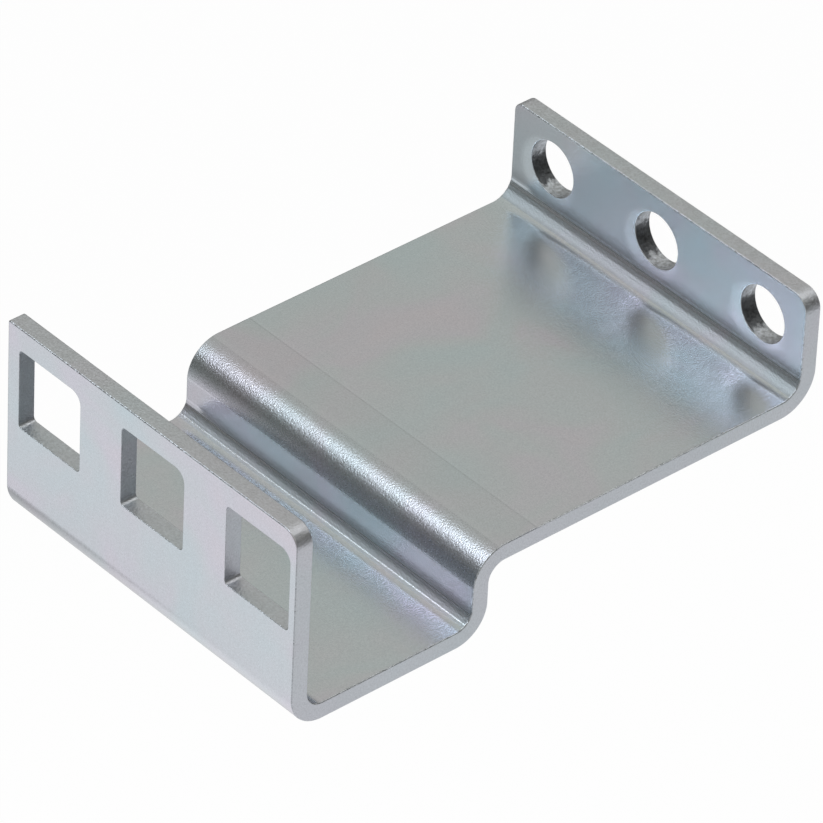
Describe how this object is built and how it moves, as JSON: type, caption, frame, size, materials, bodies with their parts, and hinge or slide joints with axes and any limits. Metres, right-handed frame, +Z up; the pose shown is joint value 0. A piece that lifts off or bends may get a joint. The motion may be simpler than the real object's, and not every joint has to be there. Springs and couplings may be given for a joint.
{
  "type": "rack adapter bracket",
  "caption": "Folded steel strip that carries square cage-nut holes ahead of a rack rail, with a stepped plate and a rear flange of round bolt holes.",
  "frame": {"origin": "centre of the middle round hole on the rear face of the rear flange, which lies against the rack rail", "axes": "X along the hole rows, +Y from the square-hole flange back toward the rack rail, +Z up from the plates toward the flange tops"},
  "size_m": [0.044, 0.0685, 0.0242],
  "materials": {
    "zinc_plated_steel": "bright zinc plating, satin"
  },
  "bodies": {
    "root": {"bracket": "zinc_plated_steel"}
  },
  "joints": []
}
